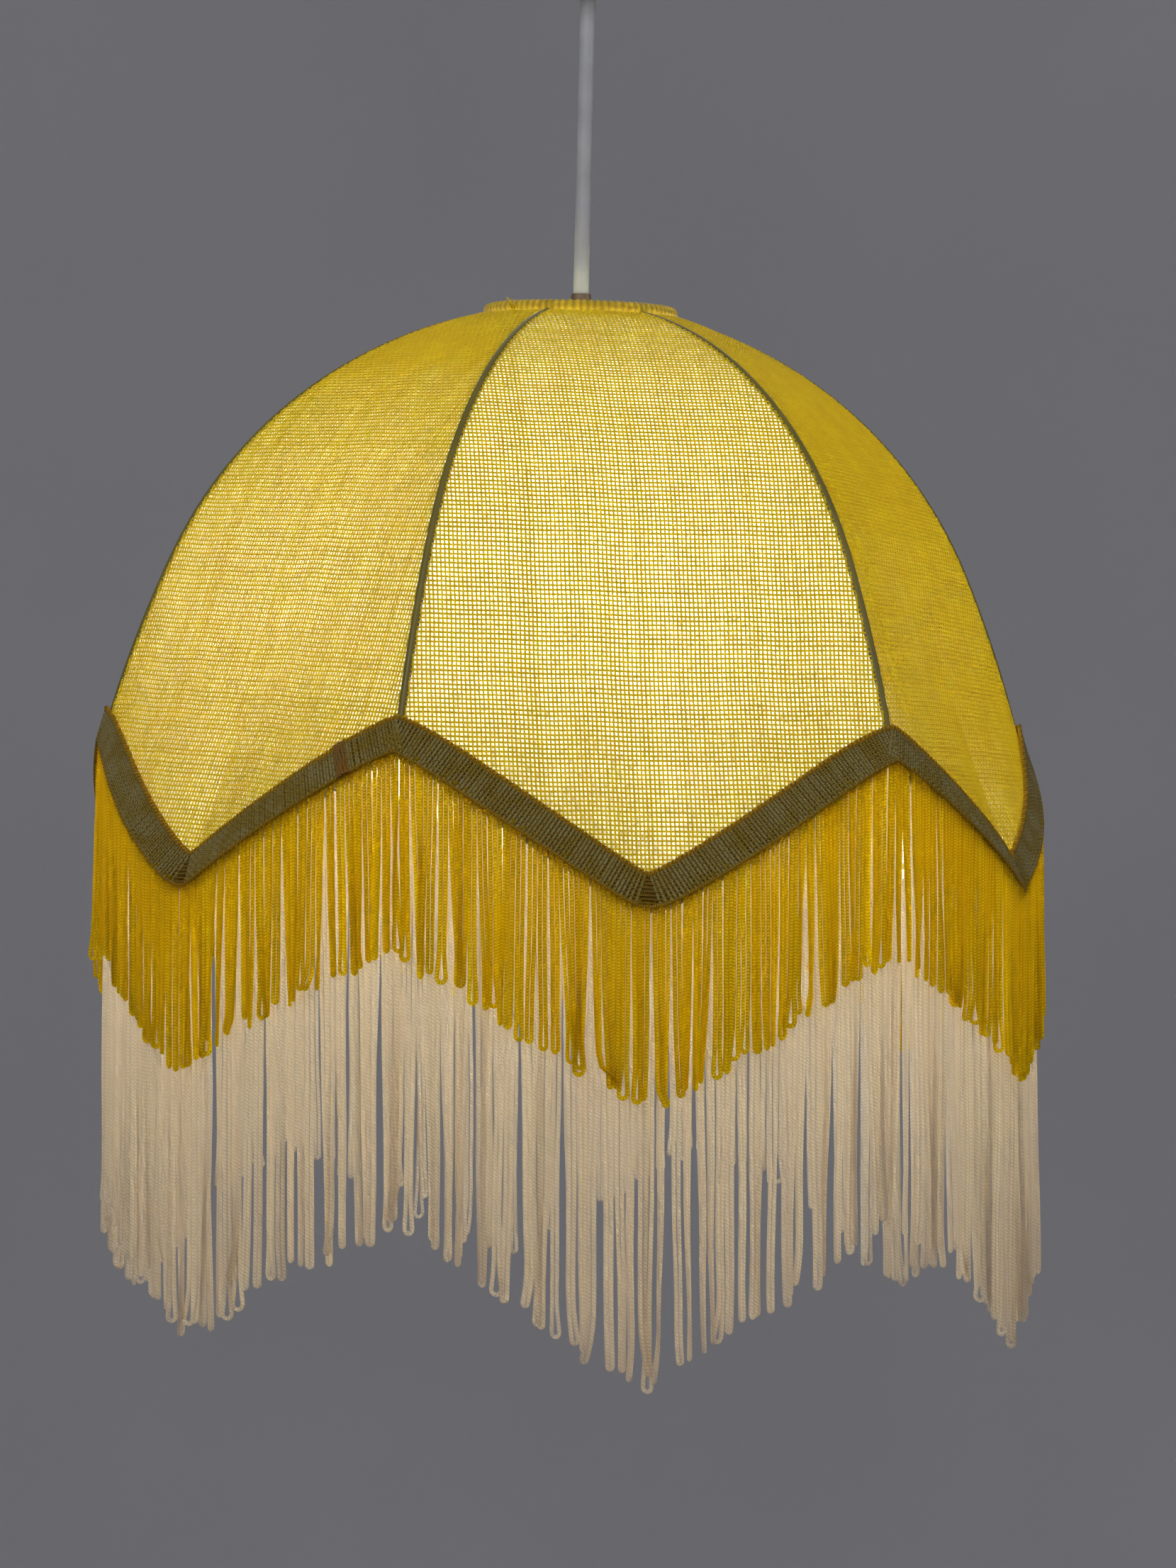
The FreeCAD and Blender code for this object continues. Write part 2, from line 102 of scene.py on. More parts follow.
# ---- materials ----------------------------------------------------------------------------
class Paint:
    """A node material, with short calls for the nodes it is made of."""

    def __init__(self, name):
        self.material = bpy.data.materials.new(name)
        self.material.use_nodes = True
        self.tree = self.material.node_tree
        self.tree.nodes.clear()
        self.output = self.tree.nodes.new("ShaderNodeOutputMaterial")

    def node(self, kind, **inputs):
        """A node of this kind. An input is a value or another node's output socket."""
        made = self.tree.nodes.new("ShaderNode" + kind)
        for name, value in inputs.items():
            self.set(made, name.replace("_", " "), value)
        return made

    def set(self, node, name, value):
        """Give an input, by its name or as i0, i1 and so on, a value or a link."""
        numbered = name[0] == "i" and name[1:].isdigit()
        socket = node.inputs[int(name[1:]) if numbered else name]
        if isinstance(value, bpy.types.NodeSocket):
            self.tree.links.new(value, socket)
        else:
            socket.default_value = value

    def math(self, operation, first, second=0.0, third=0.0):
        node = self.node("Math", i0=first, i1=second, i2=third)
        node.operation = operation
        return node.outputs[0]

    def place(self):
        return self.node("TexCoord").outputs["Object"]

    def along(self):
        """UV as two numbers: millimetres along a thread, and turns round it."""
        split = self.node("SeparateXYZ", Vector=self.node("UVMap").outputs[0])
        return split.outputs[0], split.outputs[1]

    def attribute(self, name):
        node = self.node("Attribute")
        node.attribute_name = name
        return node.outputs["Fac"]

    def noise(self, scale, detail=2.0):
        node = self.node("TexNoise", Vector=self.place(), Scale=scale, Detail=detail)
        return node.outputs["Fac"]

    def wave(self, turns):
        """A sine wave of this many whole turns."""
        return self.math("SINE", self.math("MULTIPLY", turns, 2 * math.pi))

    def blend(self, share, first, second):
        """A colour between two, each a colour or a socket."""
        node = self.tree.nodes.new("ShaderNodeMix")
        node.data_type = "RGBA"
        self.set(node, "Factor", share)
        for socket, value in ((node.inputs[6], first), (node.inputs[7], second)):
            if isinstance(value, bpy.types.NodeSocket):
                self.tree.links.new(value, socket)
            else:
                socket.default_value = (*value, 1.0)
        return node.outputs[2]

    def ramp(self, value, low, high, bottom=0.0, top=1.0):
        node = self.node("MapRange", Value=value)
        limits = {"From Min": low, "From Max": high, "To Min": bottom, "To Max": top}
        for name, number in limits.items():
            node.inputs[name].default_value = number
        return node.outputs[0]

    def bump(self, height, deep, strength=1.0):
        node = self.node("Bump", Height=height)
        node.inputs["Distance"].default_value = deep * 0.001
        node.inputs["Strength"].default_value = strength
        return node.outputs[0]

    def principled(self, colour, roughness, normal=None, **extra):
        node = self.tree.nodes.new("ShaderNodeBsdfPrincipled")
        if isinstance(colour, bpy.types.NodeSocket):
            self.tree.links.new(colour, node.inputs["Base Color"])
        else:
            node.inputs["Base Color"].default_value = (*colour, 1.0)
        self.set(node, "Roughness", roughness)
        if normal is not None:
            self.tree.links.new(normal, node.inputs["Normal"])
        for name, value in extra.items():
            self.set(node, name.replace("_", " "), value)
        return node.outputs[0]

    def mix(self, share, first, second):
        node = self.tree.nodes.new("ShaderNodeMixShader")
        self.set(node, "i0", share)
        self.tree.links.new(first, node.inputs[1])
        self.tree.links.new(second, node.inputs[2])
        return node.outputs[0]

    def done(self, shader):
        self.tree.links.new(shader, self.output.inputs["Surface"])
        return self.material


def thread_paint():
    """Thick golden thread, lit from behind: ochre in its hollows, bright on its crowns."""
    p = Paint("golden_thread")
    run, turn = p.along()
    twist = p.math("SINE", p.math("MULTIPLY_ADD", run, 7.0, p.math("MULTIPLY", turn, 2 * math.pi)))
    tone = p.ramp(p.noise(90.0, 3.0), 0.3, 0.7)
    own = p.attribute("tone")
    colour = p.blend(tone, (0.86, 0.68, 0.004), (0.94, 0.78, 0.008))
    colour = p.blend(own, colour, (0.82, 0.62, 0.003))
    normal = p.bump(twist, 0.06)
    solid = p.principled(colour, p.ramp(twist, -1.0, 1.0, 0.72, 0.5), normal, Sheen_Weight=0.05)
    through = p.blend(tone, (0.93, 0.78, 0.006), (0.97, 0.86, 0.012))
    glow = p.node("BsdfTranslucent", Color=through, Normal=normal).outputs[0]
    return p.done(p.mix(0.46, solid, glow))


def lining_paint():
    """The cream haze behind the open mesh. It spreads the lamp's light and lets part of it on."""
    p = Paint("cream_lining")
    haze = p.ramp(p.noise(160.0, 4.0), 0.25, 0.75)
    colour = p.blend(haze, (0.98, 0.97, 0.66), (1.0, 1.0, 0.74))
    normal = p.bump(p.noise(900.0, 2.0), 0.05)
    face = p.principled(colour, p.ramp(haze, 0.0, 1.0, 0.85, 0.7), normal)
    glow = p.node("BsdfTranslucent", Color=colour, Normal=normal).outputs[0]
    cloth = p.mix(0.195, face, glow)
    through = p.node("BsdfTransparent").outputs[0]
    shadow = p.node("LightPath").outputs["Is Shadow Ray"]
    return p.done(p.mix(p.math("MULTIPLY", shadow, 0.2), cloth, through))


def cord_paint(name, painted_shade, light, deep, glow_painted_shade, glow_painted_highlight, pitch, braid):
    """Cord of a fringe: painted highlights on the crowns of its stitches, painted shade between
    them, on its flanks where cords touch, and near its top under the heading.
    """
    p = Paint(name)
    run, turn = p.along()
    around = p.math("ADD", turn, 1.0 / 12.0)
    flank = p.math("ABSOLUTE", p.wave(around))
    if braid:
        slant = p.math("PINGPONG", p.math("MULTIPLY", around, 2.0), 0.5)
    else:
        slant = p.math("MULTIPLY", turn, 2.0)
    wave = p.wave(p.math("ADD", p.math("DIVIDE", run, pitch), slant))
    # Painted shade on the flanks, where neighbouring cords touch.
    face = p.math("SUBTRACT", 1.0, p.math("MULTIPLY", p.math("POWER", flank, 2.5), 0.8))
    # Painted highlight on each stitch's crown, painted shade between the stitches.
    crown = p.math("MULTIPLY", p.ramp(wave, -0.7, 0.6, 0.1, 1.0), face)
    own = p.math("MULTIPLY", p.attribute("tone"), 0.36)
    # Painted shade near the top of the cord, under the heading.
    near_top = p.ramp(p.attribute("fall"), 0.0, 0.12, 0.35, 0.0)
    patch = p.ramp(p.noise(25.0, 3.0), 0.35, 0.65)
    colour = p.blend(near_top, p.blend(own, p.blend(crown, painted_shade, light), deep), painted_shade)
    # The light let through carries the same painted highlight and shade.
    through = p.blend(own, p.blend(crown, glow_painted_shade, glow_painted_highlight), deep)
    through = p.blend(near_top, through, glow_painted_shade)
    normal = p.bump(crown, 0.25, 0.9)
    rough = p.ramp(p.math("ADD", crown, patch), 0.0, 2.0, 0.62, 0.36)
    solid = p.principled(colour, rough, normal, Sheen_Weight=0.15, Specular_IOR_Level=0.5)
    glow = p.node("BsdfTranslucent", Color=through, Normal=normal).outputs[0]
    return p.done(p.mix(0.88, solid, glow))


def yarn_paint(name, painted_shade, light, painted_sheen, pitch, glow_share=0.0):
    """Twisted yarn of a heading: painted shade in the grooves of its twist, painted highlight on
    its ridges and in fine flecks, and patches of painted sheen. Some may let light on.
    """
    p = Paint(name)
    run, turn = p.along()
    wave = p.wave(p.math("ADD", p.math("DIVIDE", run, pitch), turn))
    patch = p.ramp(p.noise(110.0, 4.0), 0.42, 0.62)
    fleck = p.ramp(p.noise(900.0, 2.0), 0.45, 0.7)
    # Painted shade in the grooves of the twist, painted highlight on its ridges.
    colour = p.blend(p.ramp(wave, -1.0, 1.0), painted_shade, light)
    # Patches of painted sheen.
    colour = p.blend(p.math("MULTIPLY", patch, 0.45), colour, painted_sheen)
    # Fine flecks of the painted highlight colour.
    colour = p.blend(p.math("MULTIPLY", fleck, 0.35), colour, light)
    normal = p.bump(wave, 0.1, 0.8)
    rough = p.ramp(patch, 0.0, 1.0, 0.68, 0.45)
    solid = p.principled(colour, rough, normal, Sheen_Weight=0.08, Specular_IOR_Level=0.5)
    if not glow_share:
        return p.done(solid)
    glow = p.node("BsdfTranslucent", Color=colour, Normal=normal).outputs[0]
    return p.done(p.mix(glow_share, solid, glow))


def binding_paint():
    """The gathered binding of the top: fine weave across, with painted shade in the creases between
    its gathers.
    """
    p = Paint("gathered_binding")
    weave = p.noise(1500.0, 2.0)
    fold = p.attribute("fold")
    patch = p.ramp(p.noise(60.0, 3.0), 0.3, 0.7)
    colour = p.blend(patch, (0.78, 0.55, 0.015), (0.90, 0.68, 0.03))
    # Painted shade in the creases between the gathers.
    colour = p.blend(p.ramp(fold, 0.0, 1.0, 0.7, 0.0), colour, (0.38, 0.23, 0.008))
    normal = p.bump(weave, 0.12)
    solid = p.principled(colour, p.ramp(weave, 0.3, 0.7, 0.8, 0.55), normal, Sheen_Weight=0.3)
    glow = p.node("BsdfTranslucent", Color=colour, Normal=normal).outputs[0]
    return p.done(p.mix(0.3, solid, glow))


def solid_paint(name, colour, other, roughness, metallic=0.0, deep=0.03):
    """A hard surface with a faint mottle, grain and uneven polish."""
    p = Paint(name)
    mottle = p.ramp(p.noise(55.0, 4.0), 0.3, 0.7)
    fine = p.noise(1320.0, 2.0)
    rough = p.ramp(p.math("ADD", mottle, fine), 0.4, 1.6, roughness * 0.8, roughness * 1.25)
    normal = p.bump(fine, deep, 0.6)
    return p.done(p.principled(p.blend(mottle, colour, other), rough, normal, Metallic=metallic))


def bulb_paint():
    """Pearl glass with the lamp burning: brightest round its middle, cooler at the neck."""
    p = Paint("lit_pearl_glass")
    where = p.node("SeparateXYZ", Vector=p.place())
    bright = p.ramp(where.outputs[2], BULB_NECK, BULB_MIDDLE)
    mottle = p.noise(40.0, 2.0)
    colour = p.blend(mottle, (0.92, 0.90, 0.84), (0.97, 0.95, 0.90))
    rough = p.ramp(mottle, 0.3, 0.7, 0.3, 0.4)
    power = p.ramp(bright, 0.0, 1.0, NECK_SHARE * LAMP, LAMP)
    light = (1.0, 0.98, 0.88, 1.0)
    return p.done(p.principled(colour, rough, Emission_Color=light, Emission_Strength=power))


def flex_paint():
    """White sheath, handled and a little grey, with faint rings from its making."""
    p = Paint("white_flex")
    where = p.node("SeparateXYZ", Vector=p.place())
    rings = p.math("SINE", p.math("MULTIPLY", where.outputs[2], 2600.0))
    dirt = p.ramp(p.noise(55.0, 4.0), 0.35, 0.75)
    colour = p.blend(dirt, (0.52, 0.54, 0.58), (0.43, 0.44, 0.47))
    normal = p.bump(rings, 0.015)
    return p.done(p.principled(colour, p.ramp(dirt, 0.0, 1.0, 0.42, 0.6), normal))


LAMP, NECK_SHARE = 420.0, 0.06
BULB_NECK, BULB_MIDDLE = -0.235, -0.300  # heights in the CAD's frame, in metres
THREAD = thread_paint()
LINING = lining_paint()
# Each cord's first two colours are the painted shade and painted highlight of its stitches, deep is
# a random tone, and the glow colours carry the painted shade and highlight into the light let
# through.
YELLOW_CORD = cord_paint(
    "yellow_cord", painted_shade=(0.28, 0.17, 0.001), light=(1.0, 0.88, 0.03), deep=(0.88, 0.68, 0.006),
    glow_painted_shade=(0.86, 0.64, 0.003), glow_painted_highlight=(1.0, 0.99, 0.09), pitch=1.1, braid=True,
)
WHITE_CORD = cord_paint(
    "white_cord", painted_shade=(0.38, 0.32, 0.27), light=(1.0, 0.96, 0.90), deep=(0.92, 0.84, 0.76),
    glow_painted_shade=(0.86, 0.78, 0.69), glow_painted_highlight=(1.0, 0.97, 0.91), pitch=1.3, braid=False,
)
# The heading is woven of golden yarn. Its columns, warps and ground are painted dark olive and
# ochre, painted shade for a thick band that the lamp behind can't shine through.
SHADED_COLUMN_YARN = yarn_paint(
    "olive_yarn_painted_shade", (0.09, 0.063, 0.003), (0.36, 0.26, 0.014), (0.34, 0.31, 0.15), pitch=0.9
)
SHADED_WARP_YARN = yarn_paint(
    "ochre_yarn_painted_shade", (0.24, 0.12, 0.003), (0.62, 0.36, 0.008), (0.34, 0.22, 0.03),
    pitch=0.8, glow_share=0.5,
)
EDGE_YARN = yarn_paint(
    "golden_edge", (0.36, 0.20, 0.004), (0.90, 0.62, 0.02), (0.60, 0.40, 0.02),
    pitch=1.0, glow_share=0.65,
)
SHADED_BACKING = yarn_paint(
    "heading_ground_painted_shade", (0.24, 0.15, 0.004), (0.38, 0.25, 0.008), (0.30, 0.21, 0.02),
    pitch=0.7, glow_share=0.5,
)
FOLD_YARN = yarn_paint(
    "orange_fold", (0.16, 0.07, 0.003), (0.60, 0.27, 0.01), (0.22, 0.17, 0.04),
    pitch=0.9, glow_share=0.35,
)
WHITE_YARN = yarn_paint(
    "white_yarn", (0.50, 0.46, 0.40), (0.84, 0.80, 0.72), (0.70, 0.66, 0.58), pitch=0.9
)
BINDING = binding_paint()
WIRE = solid_paint("lacquered_wire", (0.16, 0.13, 0.012), (0.23, 0.185, 0.02), 0.48, deep=0.02)
WHITE_PLASTIC = solid_paint("white_moulding", (0.80, 0.79, 0.76), (0.76, 0.75, 0.71), 0.32)
DARK_PLASTIC = solid_paint("dark_grip", (0.05, 0.035, 0.025), (0.09, 0.06, 0.04), 0.5)
BRASS = solid_paint("brass", (0.78, 0.55, 0.22), (0.70, 0.47, 0.18), 0.3, 1.0)
STEEL = solid_paint("bright_aluminium", (0.78, 0.78, 0.78), (0.68, 0.68, 0.69), 0.3, 1.0)
CERAMIC = solid_paint("glazed_insulator", (0.80, 0.76, 0.68), (0.74, 0.70, 0.62), 0.25)
BLACK_GLASS = solid_paint("black_glass", (0.012, 0.012, 0.016), (0.02, 0.02, 0.022), 0.15)
CORE = solid_paint("core_sleeve", (0.18, 0.07, 0.03), (0.24, 0.10, 0.04), 0.5)
BULB = bulb_paint()
FLEX = flex_paint()

CAD_PAINT = {
    "top_ring": WIRE, "fitter_ring": WIRE, "hem_wire": WIRE,
    "holder_cap": WHITE_PLASTIC, "holder_body": WHITE_PLASTIC, "shade_nut": WHITE_PLASTIC,
    "rose_base": WHITE_PLASTIC, "rose_cover": WHITE_PLASTIC, "contact_block": CERAMIC,
    "contact_shell": STEEL, "centre_contact": BRASS, "holder_terminals": BRASS,
    "flex_cores": CORE, "cord_grip": DARK_PLASTIC, "bulb_tip": STEEL,
    "bulb_insulator": BLACK_GLASS, "bulb_cap": STEEL, "bulb_glass": BULB,
    "terminal_block": CERAMIC, "terminal_screws": BRASS, "outlet_bush": DARK_PLASTIC,
    "flex_tail": FLEX,
}
CAD_PAINT.update({"rib_" + str(k): WIRE for k in range(1, GORES + 1)})
CAD_PAINT.update({"spoke_" + str(k): WIRE for k in (1, 2, 3)})
for name, paint in CAD_PAINT.items():
    nodes[name].data.materials.clear()
    nodes[name].data.materials.append(paint)


# ---- meshes -------------------------------------------------------------------------------
def place(points):
    """Points in millimetres above the rim, in metres in the CAD's frame."""
    return (np.asarray(points, float) + np.array([0.0, 0.0, RIM_Z])) * 0.001


def make_piece(name, points, quads, paint, slot, node, uv=None, values=None):
    """A mesh piece of four-cornered faces, in place on the shade, for one node of the CAD."""
    mesh = bpy.data.meshes.new(name)
    quads = np.asarray(quads, np.int32).reshape(-1, 4)
    mesh.vertices.add(len(points))
    mesh.vertices.foreach_set("co", place(points).astype(np.float32).ravel())
    mesh.loops.add(quads.size)
    mesh.loops.foreach_set("vertex_index", quads.ravel())
    mesh.polygons.add(len(quads))
    mesh.polygons.foreach_set("loop_start", np.arange(0, quads.size, 4, dtype=np.int32))
    mesh.update(calc_edges=True)
    mesh.shade_smooth()
    if uv is not None:
        layer = mesh.uv_layers.new(name="UVMap")
        layer.data.foreach_set("uv", np.asarray(uv, np.float32).ravel())
    for key, numbers in (values or {}).items():
        attribute = mesh.attributes.new(key, "FLOAT", "POINT")
        attribute.data.foreach_set("value", np.asarray(numbers, np.float32))
    mesh.materials.append(paint)
    piece = bpy.data.objects.new(name, mesh)
    bpy.context.scene.collection.objects.link(piece)
    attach(piece, "shade")
    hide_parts(node)
    return piece


def unit(vectors):
    return vectors / np.maximum(np.linalg.norm(vectors, axis=-1, keepdims=True), 1e-9)


class Strands:
    """Strands gathered into one mesh, round or pressed flat along their normals."""

    def __init__(self, sides, flat=1.0):
        self.sides, self.flat = sides, flat
        self.points, self.quads, self.uv, self.tone, self.fall = [], [], [], [], []
        self.count = 0

    def add(self, path, normals, radius, tone=0.0, fall=None, closed=False):
        """One strand: its centreline, a direction across it at each point, and its radius."""
        path = np.asarray(path, float)
        total, sides = len(path), self.sides
        if closed:
            ahead = np.roll(path, -1, 0) - np.roll(path, 1, 0)
        else:
            ahead = np.gradient(path, axis=0)
        ahead = unit(ahead)
        across = unit(normals - ahead * (normals * ahead).sum(1, keepdims=True))
        side = np.cross(ahead, across)
        angles = (np.arange(sides) + 0.5) / sides * 2 * math.pi
        radius = np.broadcast_to(np.asarray(radius, float), (total,))
        ring = (
            path[:, None, :]
            + radius[:, None, None]
            * (self.flat * np.cos(angles)[None, :, None] * across[:, None, :]
               + np.sin(angles)[None, :, None] * side[:, None, :])
        )
        self.points.append(ring.reshape(-1, 3))
        self.quads.append(grid_quads(total, sides, closed, True) + self.count)
        rows = np.arange(total if closed else total - 1)
        steps = np.linalg.norm(np.diff(path, axis=0, append=path[:1]), axis=1)
        run = np.concatenate([[0.0], np.cumsum(steps)])
        start = np.repeat(run[rows][:, None], sides, 1)
        end = np.repeat(run[rows + 1][:, None], sides, 1)
        low = np.broadcast_to(np.arange(sides) / sides, start.shape)
        high = low + 1.0 / sides
        uv = np.stack([
            np.stack([start, low], -1), np.stack([start, high], -1),
            np.stack([end, high], -1), np.stack([end, low], -1),
        ], 2)
        self.uv.append(uv.reshape(-1, 2))
        self.tone.append(np.full(total * sides, tone))
        fall = np.zeros(total) if fall is None else np.asarray(fall)
        self.fall.append(np.repeat(fall, sides))
        self.count += total * sides

    def piece(self, name, paint, slot, node):
        lists = (self.points, self.quads, self.uv, self.tone, self.fall)
        points, quads, uv, tone, fall = (np.concatenate(part) for part in lists)
        return make_piece(name, points, quads, paint, slot, node, uv, {"tone": tone, "fall": fall})


def grid_quads(rows, columns, wrap_rows=False, wrap_columns=False):
    """Faces between the points of a grid stored row by row."""
    i = np.arange(rows if wrap_rows else rows - 1)[:, None]
    j = np.arange(columns if wrap_columns else columns - 1)[None, :]
    i2, j2 = (i + 1) % rows, (j + 1) % columns
    return np.stack(
        [i * columns + j, i * columns + j2, i2 * columns + j2, i2 * columns + j], -1
    ).reshape(-1, 4)


# ---- the dome's outline -------------------------------------------------------------------
def lean(height):
    """A rib's lean from the vertical."""
    height = np.asarray(height, float)
    low = np.arcsin(math.sin(RIM_TILT) + np.minimum(height, LOWER_RISE) / LOWER_BEND)
    bend = math.sin(RIM_TILT) + LOWER_RISE / LOWER_BEND
    high = np.arcsin(np.minimum(bend + np.maximum(height - LOWER_RISE, 0) / UPPER_BEND, 1.0))
    return np.where(height < LOWER_RISE, low, high)


def rib_radius(height):
    """The fabric's outside radius at a rib."""
    height = np.asarray(height, float)
    lower = np.minimum(height, LOWER_RISE - 1e-9)
    radius = RIM_R + LOWER_BEND * (np.cos(lean(lower)) - math.cos(RIM_TILT))
    knee = math.cos(float(lean(LOWER_RISE - 1e-9)))
    return radius + np.where(height > LOWER_RISE, UPPER_BEND * (np.cos(lean(height)) - knee), 0.0)


def face_radius(off, height):
    """The fabric's outside radius at an angle off the middle of a gore: straight across between
    the ribs, round at the top ring, and flared out to a round hem."""
    height = np.asarray(height, float)
    share = np.minimum(np.abs(off) / HALF, 1.0)
    flatness = math.cos(HALF) / np.cos(off)
    hem = VALLEY_R - HEM_DIP * share**2 + HEM_SWELL * share**4
    full = FLARE_START + VALLEY_DROP * (1 - share)
    start = float(rib_radius(FLARE_START)) * flatness
    slope = math.tan(float(lean(FLARE_START))) * flatness
    bend = (hem - start - slope * full) / full**2
    below = np.maximum(FLARE_START - height, 0)
    near_top = np.clip(1 - (DOME_H - height) / TOP_ROUNDING, 0, None)
    radius = rib_radius(np.maximum(height, FLARE_START)) * flatness
    radius = radius + slope * below + bend * below**2
    return radius + rib_radius(height) * (1 - flatness) * near_top**2


def gore_off(y, height):
    """The angle off a gore's middle at this distance across it."""
    off = np.zeros(np.broadcast(y, height).shape)
    for _ in range(6):
        off = np.arcsin(np.clip(y / face_radius(off, height), -0.5, 0.5))
    return off


def gore_x(y, height):
    """How far out a gore's face lies, across (y) and up the gore."""
    off = gore_off(y, height)
    return face_radius(off, height) * np.cos(off)


def gore_point(y, height):
    return np.stack([gore_x(y, height), y, height], -1)


def gore_normal(y, height):
    step = 0.05
    across = (gore_x(y + step, height) - gore_x(y - step, height)) / (2 * step)
    rise = (gore_x(y, height + step) - gore_x(y, height - step)) / (2 * step)
    return unit(np.stack([np.ones_like(across), -across, -rise], -1))


def shell_radius(angle, height):
    """The dome's outside radius at an angle from +X."""
    return face_radius(np.mod(angle, 2 * HALF) - HALF, height)


def turn(points, angle):
    """Points turned about the vertical axis."""
    c, s = math.cos(angle), math.sin(angle)
    return points @ np.array([[c, s, 0], [-s, c, 0], [0, 0, 1]])


def ripple(rng, waves, size):
    """A smooth wandering line: a sum of slow waves of one number."""
    parts = [
        (size / len(waves) * rng.uniform(0.6, 1.4), wave, rng.uniform(0, 2 * math.pi))
        for wave in waves
    ]
    return lambda x: sum(a * np.sin(2 * math.pi * x / w + p) for a, w, p in parts)


# ---- gores --------------------------------------------------------------------------------
WARP_PITCH, WEFT_PITCH = 1.52, 1.74
UNEVEN = 0.035  # how much the spacing of the threads strays
THREAD_R, THREAD_FLAT = 0.43, 0.5
THREAD_DEPTH, LINING_DEPTH = 0.42, 1.1  # behind the fabric's outside
OVER_UNDER = 0.15  # how far a thread goes over and under those that it crosses
RIB_GAP = 1.55  # from the middle of a rib to the cut ends of the threads


def run_along(across, up):
    """The length along a line, from its start to each of its points."""
    return np.concatenate([[0.0], np.cumsum(np.hypot(np.diff(across), np.diff(up)))])


profile_h = np.linspace(GORE_FOOT - 2, GORE_TOP, 900)
profile_s = run_along(profile_h, face_radius(0.0, profile_h))


def cut_thread(face, normal, lift, room):
    """A thread's centreline and normals where it has room in its gore, cut at the edge."""
    inside = np.flatnonzero(room > 0)
    if len(inside) < 3:
        return None
    first, last = inside[0], inside[-1]
    path, norms = (face + normal * lift)[first : last + 1], normal[first : last + 1]

    def tip(end, beyond):
        share = room[end] / (room[end] - room[beyond])
        return face[end] + (face[beyond] - face[end]) * share

    if first > 0:
        path, norms = np.vstack([tip(first, first - 1), path]), np.vstack([norms[0], norms])
    if last + 1 < len(room):
        path, norms = np.vstack([path, tip(last, last + 1)]), np.vstack([norms, norms[-1]])
    return path, norms


def weave_gore(k):
    """The open square mesh of one gore, thread by thread."""
    rng = np.random.default_rng(40 + k)
    angle = 2 * HALF * (k - 0.5)
    skew, slant = rng.uniform(-0.03, 0.03), rng.uniform(-0.045, 0.045)
    bow = rng.uniform(-1.5, 1.5)
    shift_y = ripple(rng, (61.0, 113.0, 37.0), 0.3)
    shift_s = ripple(rng, (47.0, 97.0, 29.0), 0.3)
    across = np.arange(-60, 61)
    up = np.arange(0, int(profile_s[-1] / WEFT_PITCH) + 4)
    i, j = np.meshgrid(across, up, indexing="ij")
    y0, s0 = i * WARP_PITCH, j * WEFT_PITCH
    y = y0 + skew * (s0 - 120) + shift_y(s0) * 0.6
    y = y + rng.normal(0, UNEVEN, len(across))[:, None]
    s = s0 + slant * y0 + bow * (y0 / 85) ** 2 + shift_s(y0)
    s = s + rng.normal(0, UNEVEN, len(up))[None, :]
    height = np.interp(s, profile_s, profile_h)
    cut = GORE_FOOT + VALLEY_DROP * np.abs(gore_off(y, height)) / HALF
    room = np.minimum(rib_radius(height) / 2 - RIB_GAP - np.abs(y), height - cut)
    room = np.where((s < profile_s[0]) | (s > profile_s[-1]), -1.0, room)
    normal = gore_normal(y, height)
    face = gore_point(y, height) - normal * THREAD_DEPTH
    over = np.where((i + j) % 2 == 0, 1.0, -1.0)[..., None] * OVER_UNDER
    node = "gore_" + str(k)
    for kind, sign, count in (("warp", 1, len(across)), ("weft", -1, len(up))):
        strands = Strands(4, THREAD_FLAT)
        for n in range(count):
            pick = (n, slice(None)) if kind == "warp" else (slice(None), n)
            thread = cut_thread(face[pick], normal[pick], over[pick] * sign, room[pick])
            if thread is None:
                continue
            path, norms = (turn(part, angle) for part in thread)
            thick = THREAD_R * rng.uniform(0.88, 1.12)
            strands.add(path, norms, thick, rng.uniform(0, 1))
        yield strands.piece(node + "_" + kind, THREAD, "gore_fabric", node)


def line_gore(k):
    """The sheet behind the mesh of one gore."""
    rows, columns = 90, 36
    height = np.linspace(GORE_FOOT + 0.5, GORE_TOP - 0.3, rows)[:, None]
    share = np.linspace(-1, 1, columns)[None, :]
    hem = HALF * np.minimum((height - GORE_FOOT) / (FABRIC_EDGE - GORE_FOOT), 1.0)
    hem = face_radius(hem, height) * np.sin(hem)
    y = share * np.where(height < FABRIC_EDGE, hem, rib_radius(height) / 2 - 0.8)
    height = np.broadcast_to(height, y.shape)
    face = gore_point(y, height) - gore_normal(y, height) * LINING_DEPTH
    points = turn(face.reshape(-1, 3), 2 * HALF * (k - 0.5))
    quads = grid_quads(rows, columns)
    node = "gore_" + str(k)
    return make_piece(node + "_sheet", points, quads, LINING, "gore_fabric", node)


gore_pieces = {k: (line_gore(k), list(weave_gore(k))) for k in range(1, GORES + 1)}

# ---- the hem line -------------------------------------------------------------------------
HEM_R = 176.0
RUN = HEM_R * HALF
PEAK_BEND, VALLEY_BEND, PEAK_H = 17.0, 4.0, 1.0
VALLEYS = (49.5, 48.5, 49.0, 50.0, 51.0, 47.0)  # how deep each gore's valley is
VALLEY_SHIFTS = (0.02, -0.03, 0.02, 0.0, -0.017, -0.03)  # in shares of a gore


